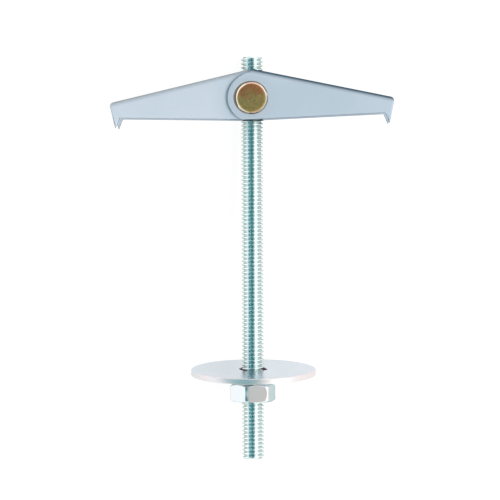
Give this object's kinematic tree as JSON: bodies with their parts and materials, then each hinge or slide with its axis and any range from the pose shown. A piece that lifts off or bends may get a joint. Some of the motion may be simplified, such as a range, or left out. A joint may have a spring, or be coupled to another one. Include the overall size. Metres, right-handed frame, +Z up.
{
  "type": "spring toggle anchor",
  "caption": "Hollow wall anchor: a threaded rod carries two spring-loaded folding steel wings at the top, with a wide washer and a hex nut near the lower end.",
  "frame": {"origin": "bottom centre of the bounding box, on the surface that the anchor lies on", "axes": "+Y along the rod towards the wings, +X to the wings' right side as seen from above, +Z up; the rod slopes down by about 6 degrees towards the wings"},
  "size_m": [0.0512, 0.0726, 0.0227],
  "materials": {
    "zinc_rod": "bright zinc plate",
    "zinc_wing": "satin blue-white zinc plate",
    "yellow_zinc": "yellow passivated zinc plate",
    "spring_steel": "plain spring wire",
    "zinc_washer": "glossy zinc plate",
    "zinc_nut": "bright zinc plate"
  },
  "bodies": {
    "rod": {"threaded_rod": "zinc_rod", "pivot_nut": "yellow_zinc", "torsion_spring": "spring_steel"},
    "right_wing": {"wing_right": "zinc_wing"},
    "left_wing": {"wing_left": "zinc_wing"},
    "washer": {"washer": "zinc_washer"},
    "nut": {"hex_nut": "zinc_nut"}
  },
  "joints": [
    {"name": "right_wing_fold", "type": "hinge", "parent": "rod", "child": "right_wing", "pos_m": [-0.00001, 0.02871, 0.00578], "axis": [0, -0.1078, -0.9942], "range_deg": [0, 82.5], "stiffness_Nm_per_rad": 0.004, "springref_deg": -114.59, "deforming": ["torsion_spring"]},
    {"name": "left_wing_fold", "type": "hinge", "parent": "rod", "child": "left_wing", "pos_m": [-0.00001, 0.02871, 0.00578], "axis": [0, 0.1078, 0.9942], "range_deg": [0, 80.6], "stiffness_Nm_per_rad": 0.004, "springref_deg": -114.59, "deforming": ["torsion_spring"]},
    {"name": "washer_slide", "type": "slide", "parent": "rod", "child": "washer", "axis": [0, 0.9942, -0.1078], "range_m": [-0.0091, 0.0217]},
    {"name": "nut_turn", "type": "hinge", "parent": "washer", "child": "nut", "pos_m": [-0.00001, -0.02428, 0.01152], "axis": [0, 0.9942, -0.1078], "range_deg": [-4680, 11160]}
  ],
  "couplings": [
    {"joint": "nut_turn", "follows": "washer_slide", "rad_per_m": 8976}
  ]
}
